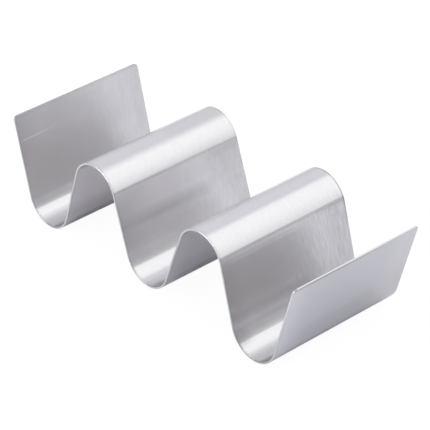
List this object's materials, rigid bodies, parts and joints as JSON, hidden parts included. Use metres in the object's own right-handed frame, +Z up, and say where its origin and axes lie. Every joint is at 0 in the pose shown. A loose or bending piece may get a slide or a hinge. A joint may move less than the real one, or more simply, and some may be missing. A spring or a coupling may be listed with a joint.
{
  "type": "taco holder",
  "caption": "Strip of brushed steel sheet bent into a wave, with rounded troughs that hold tacos upright between humps and outward-leaning end plates.",
  "frame": {"origin": "on the table, under the middle trough, at the centre of the holder's footprint", "axes": "+X along the wave from one end plate to the other, +Y across the sheet, +Z up"},
  "size_m": [0.1908, 0.076, 0.0503],
  "materials": {
    "brushed_sheet": "brushed along the wave, satin"
  },
  "bodies": {
    "root": {"taco_holder": "brushed_sheet"}
  },
  "joints": []
}
